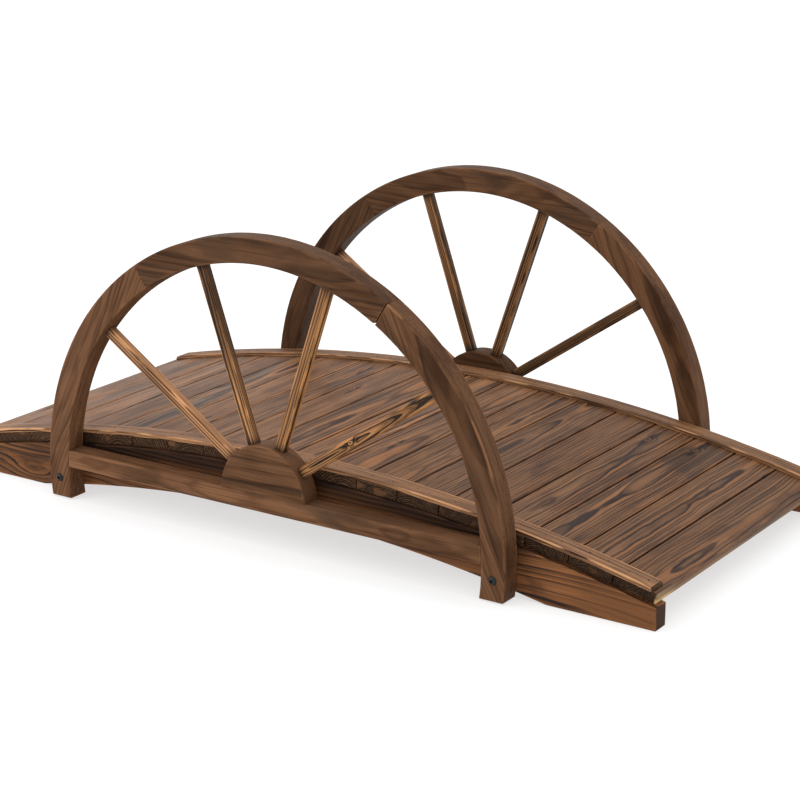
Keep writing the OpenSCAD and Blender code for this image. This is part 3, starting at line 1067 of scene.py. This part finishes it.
def make_rail(side, look, pith, seed):
    chips = corner_chips(seed * 9, (29, 77, 200))
    ta, tb = side_steps(RAIL_TOP - RAIL_LOW, 5), side_steps(RIM_T, 6)
    wave = ripple(seed * 9 + 5, (70, 130, 260))

    def section(s, inset):
        radii = worn_radii(chips, s, inset, RAIL_RADII, RAIL_CHIP, WHEEL_LEAST_R)
        return eased(RAIL_LOW + inset, RAIL_TOP - inset, inset, RIM_T - inset, radii, ta, tb)

    def place(s, a, b):
        return wheel_to_xyz(side, s * math.sqrt(RIM_IN ** 2 - a * a) / RIM_IN, a, b)

    # darker right of the hub
    def soot(s, a, b):
        right = unit((s - RAIL_SOOT_X) / RAIL_SOOT_LEN)
        return max(0.0, RAIL_SOOT * right * (0.9 + 0.6 * wave(s + 3 * a)))

    stops = stations(-RIM_IN + RAIL_CLEAR, RIM_IN - RAIL_CLEAR, RAIL_STEP, RAIL_EASE)
    solid = sweep(section, stops, place, soot=soot)
    name = f"{side}_rail"
    piece(f"{name}_bar", solid, name, MATS["rim_wood"], (1, 0, 0), look, pith, None, seed)


def make_hub(side, look, pith, seed):
    m = Solid()
    e = HUB_EASE
    flat_r = HUB_R - e - NEAR_ARRIS

    # half section from the middle of the face, round the rim, to the middle of the back
    prof = [(r, RIM_T) for r in HUB_FACE_RINGS] + [(flat_r, RIM_T)]
    edge = [0.0] * len(prof)
    for k in range(ARC_STEPS + 1):
        h = math.radians(90 - 30 * k)
        prof.append((HUB_R - e + e * math.cos(h), RIM_T - e + e * math.sin(h)))
        edge.append(1.0)
    for z in (RIM_T - e - NEAR_ARRIS, RIM_T * 0.6, RIM_T * 0.4, e + NEAR_ARRIS):
        prof.append((HUB_R, z))
        edge.append(0.0)
    for k in range(ARC_STEPS + 1):
        h = math.radians(-30 * k)
        prof.append((HUB_R - e + e * math.cos(h), e + e * math.sin(h)))
        edge.append(1.0)
    for r in (flat_r, *HUB_BACK_RINGS):
        prof.append((r, 0.0))
        edge.append(0.0)

    def place(x, y, z):
        return wheel_to_xyz(side, x, y, z)

    # a dark cap at the upper left and a dark stripe along the grain
    def soot(x, y, z):
        cap = CAP_SOOT * blot(x - CAP_X, y - RAIL_TOP - CAP_H, *CAP_SIZE)
        off = (y - RAIL_TOP - STRIPE_H + STRIPE_SLOPE * x) / STRIPE_HALF
        stripe = STRIPE_SOOT * math.exp(-off ** 2 - (x / STRIPE_REACH) ** 4)
        return max(cap, stripe) if z > RIM_T - ARRIS_DEPTH else 0.0

    rings = []
    for k in range(HUB_STEPS + 1):
        h = math.pi * k / HUB_STEPS
        pts = [(r * math.cos(h), RAIL_TOP + r * math.sin(h), z) for r, z in prof]
        rings.append(m.ring(pts, edge, place, soot=soot))
    for r0, r1 in zip(rings, rings[1:]):
        for j in range(len(prof) - 1):
            quad = [r0[j], r0[j + 1], r1[j + 1], r1[j]]
            if prof[j][0] == 0:
                quad = [r0[j], r0[j + 1], r1[j + 1]]
            elif prof[j + 1][0] == 0:
                quad = [r0[j], r0[j + 1], r1[j]]
            m.faces.append(tuple(quad))
    m.faces.append(tuple(rings[0]) + tuple(reversed(rings[-1][1:-1])))
    name = f"{side}_hub"
    piece(f"{name}_block", m, name, MATS["rim_wood"], (1, 0, 0), look, pith, None, seed)


def make_spoke(side, i, look, pith, seed, knot=None):
    an = math.radians(SPOKE_ANGLES[i])
    dx, dy = math.cos(an), math.sin(an)
    nx, ny = -dy, dx
    half = SPOKE_W / 2
    ta, tb = side_steps(SPOKE_W, 3, NEAR_SLIM), side_steps(SPOKE_D, 3, NEAR_SLIM)
    bow = ripple(seed * 9, (260, 500))

    def section(s, inset):
        radii = [SPOKE_CHAMFER] * 4
        return eased(-half + inset, half - inset, inset, SPOKE_D - inset, radii, ta, tb, 1)

    def ends(a):
        """How far from the hub's centre the spoke meets the hub and the rim."""
        s0 = math.sqrt(HUB_R ** 2 - a * a)
        qx, qy = a * nx, RAIL_TOP + a * ny
        b = qx * dx + qy * dy
        return s0, -b + math.sqrt(b * b - (qx * qx + qy * qy - RIM_IN ** 2))

    def place(s, a, b):
        s0, s1 = ends(a)
        d = s0 + (s1 - s0) * s
        off = a + SPOKE_BOW * bow(d) * math.sin(math.pi * s)
        x, y = d * dx + off * nx, RAIL_TOP + d * dy + off * ny
        return wheel_to_xyz(side, x, y, (RIM_T - SPOKE_D) / 2 + b)

    def grain(s, a, b):
        s0, s1 = ends(a)
        d = s0 + (s1 - s0) * s
        return (d, a, b + KNOT_SLOPE * (d - knot[0]) if knot else b)

    # painted shade in the corners at hub and rim, and soot over the upper part of the burnt spoke
    def soot(s, a, b):
        s0, s1 = ends(a)
        near = min(s, 1 - s) * (s1 - s0)
        corner_shade = max(0.0, 1 - near / CORNER_SHADE_LEN) ** CORNER_SHADE_FALL
        high = unit((s - BURNT_FROM) / BURNT_LEN) if i == BURNT_SPOKE else 0.0
        if b > SPOKE_D - ARRIS_B and a > ARRIS_A:
            return corner_shade - BARE_ARRIS * high
        if i == BURNT_SPOKE and a < -SIDE_A:
            return max(corner_shade, SIDE_DUSK + BURNT_SIDE * high)
        return max(corner_shade, BURNT_FACE * high if b > SPOKE_D - FACE_B else 0.0)

    stops = [(q, 0.0, 0.0) for q in np.linspace(0, 1, SPOKE_STOPS)]
    solid = sweep(section, stops, place, grain, soot)
    name = f"{side}_spoke_{i}"
    material = MATS["plain_spoke_wood" if i == 1 else "spoke_wood"]
    piece(f"{name}_bar", solid, name, material, (dx, 0, dy), look, pith, knot, seed,
          SPOKE_SMOOTH)


def make_staples(side):
    """Crowns of the staples driven into the outside of the rim beside its joints."""
    m = Solid()
    for at in (RIGHT_JOINT + STAPLE_TURN, math.pi - LEFT_JOINT - STAPLE_TURN):
        out, along = (math.cos(at), math.sin(at)), (-math.sin(at), math.cos(at))

        def place(s, a, b):
            k = RIM_R + b - STAPLE_BEND * (abs(s - STAPLE_MID) / STAPLE_HALF) ** 6
            return wheel_to_xyz(side, out[0] * k + along[0] * a, out[1] * k + along[1] * a, s)

        def section(s, inset):
            low, top = STAPLE_LOW + inset, STAPLE_TOP - inset
            return eased(-STAPLE_W + inset, STAPLE_W - inset, low, top, [STAPLE_R] * 4, MIDDLE, MIDDLE, 2)

        lo, hi = STAPLE_MID - STAPLE_HALF, STAPLE_MID + STAPLE_HALF
        stops = stations(lo, hi, STAPLE_STEP, STAPLE_EASE, rim=STAPLE_RIM)
        m.join(sweep(section, stops, place, cap_rim=STAPLE_EASE))
    piece(f"{side}_joint_staples", m, None, NAIL, (0, 1, 0), seed=90)


# How light each piece of the two wheels is: partly its own tone and partly painted light, with the rear
# wheel's pieces set darker as painted shade and the front left felloe set lighter as painted light
TONES = {
    "front": {"left": 0.94, "top": 0.54, "right": 0.72, "rail": 1.16, "hub": 0.76},
    "rear": {"left": 0.26, "top": 0.62, "right": 0.84, "rail": 0.9, "hub": 0.32},
}
# the rear spokes are set far darker, as painted shade
SPOKE_TONES = {"front": (0.72, 0.66, 0.36, 0.36), "rear": (0.6, 0.2, 0.04, -0.14)}

for side, base in (("front", 0), ("rear", 100)):
    tone = TONES[side]
    make_felloe(side, "left", wood_look(tone["left"], 0.3, 6.0), (6, 150), 61 + base)
    make_felloe(side, "top", wood_look(tone["top"], 0.9, 7.0), (-6, 150), 62 + base)
    make_felloe(side, "right", wood_look(tone["right"], 0.2, 8.0), (0, 140), 63 + base)
    make_rail(side, wood_look(tone["rail"], 0.7, 6.0), (22, -40), 64 + base)
    make_hub(side, wood_look(tone["hub"], 0.3, 14.0), (0, 170), 65 + base)
    s1, s2, s3, s4 = SPOKE_TONES[side]
    make_spoke(side, 1, wood_look(s1, 0.1, 4.8), (-41.1, 12), 71 + base)
    make_spoke(side, 2, wood_look(s2, 0.5, 3.0), (4, 30) if side == "front" else (40, 20), 82 + base)
    make_spoke(side, 3, wood_look(s3, 0.3, 4.2), (46, 20), 73 + base)
    if side == "front":
        make_spoke(side, 4, wood_look(s4, 0.4, 3.6), (0, 14), 74 + base, knot=(196, 2.0, 2.6))
    else:
        make_spoke(side, 4, wood_look(s4, 0.4, 3.0), (40, 20), 74 + base)
    make_staples(side)

for name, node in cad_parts.items():
    if name.endswith("_bolt"):
        node.data.materials.clear()
        node.data.materials.append(BOLT)

# Floor, light and camera, in metres

FLOOR_SIZE = 14
FLOOR_Z = -0.0006
FLOOR_TONE = 0.36
FLOOR_GLOW = 0.64
FLOOR_ROUGH = 0.9
WHITE = (1, 1, 1, 1)
AIM = (0, 0, 0.2)

# The camera fitted to the photograph
CAMERA_AT = (1.977065, -2.927946, 1.237631)
CAMERA_YAW = math.radians(-33.582)
CAMERA_PITCH = math.radians(17.072)
FOCAL_PIXELS = 2232.592
PHOTO_PIXELS = 800
SENSOR = 36
CLIP_END = 60


def make_floor():
    bm = bmesh.new()
    bmesh.ops.create_grid(bm, x_segments=4, y_segments=4, size=FLOOR_SIZE)
    mesh = bpy.data.meshes.new("floor")
    bm.to_mesh(mesh)
    bm.free()
    o = bpy.data.objects.new("floor", mesh)
    o.location.z = FLOOR_Z
    bpy.context.scene.collection.objects.link(o)
    paper = Tree("pale_floor")
    paper.bsdf.inputs["Base Color"].default_value = (FLOOR_TONE, FLOOR_TONE, FLOOR_TONE, 1)
    paper.bsdf.inputs["Emission Color"].default_value = WHITE
    paper.bsdf.inputs["Emission Strength"].default_value = FLOOR_GLOW
    paper.bsdf.inputs["Roughness"].default_value = FLOOR_ROUGH
    mesh.materials.append(paper.mat)
    return o


def softbox(name, at, size, power):
    light = bpy.data.lights.new(name, "AREA")
    light.shape, light.size, light.size_y = "RECTANGLE", size, size
    light.energy = power
    o = bpy.data.objects.new(name, light)
    o.location = at
    o.rotation_mode = "QUATERNION"
    o.rotation_quaternion = (Vector(AIM) - Vector(at)).to_track_quat("-Z", "Y")
    bpy.context.scene.collection.objects.link(o)


floor = make_floor()

world = bpy.data.worlds.new("studio")
bpy.context.scene.world = world
world.use_nodes = True
background = world.node_tree.nodes["Background"]
background.inputs["Color"].default_value = WHITE
background.inputs["Strength"].default_value = 1.0

softbox("overhead", (0.2, 0.6, 3.4), 4.0, 40)
softbox("key", (-2.4, -3.0, 2.4), 2.4, 60)

bpy.context.scene.view_settings.view_transform = "Standard"

level_x, level_y = math.sin(CAMERA_YAW), math.cos(CAMERA_YAW)
tilt = math.cos(CAMERA_PITCH)
forward = Vector((level_x * tilt, level_y * tilt, -math.sin(CAMERA_PITCH)))
right = Vector((level_y, -level_x, 0))
lens = bpy.data.cameras.new("camera")
lens.sensor_width = SENSOR
lens.lens = FOCAL_PIXELS / PHOTO_PIXELS * SENSOR
lens.clip_end = CLIP_END
camera = bpy.data.objects.new("camera", lens)
pose = Matrix((right, right.cross(forward), -forward)).transposed().to_4x4()
pose.translation = CAMERA_AT
camera.matrix_world = pose
bpy.context.scene.collection.objects.link(camera)
bpy.context.scene.camera = camera
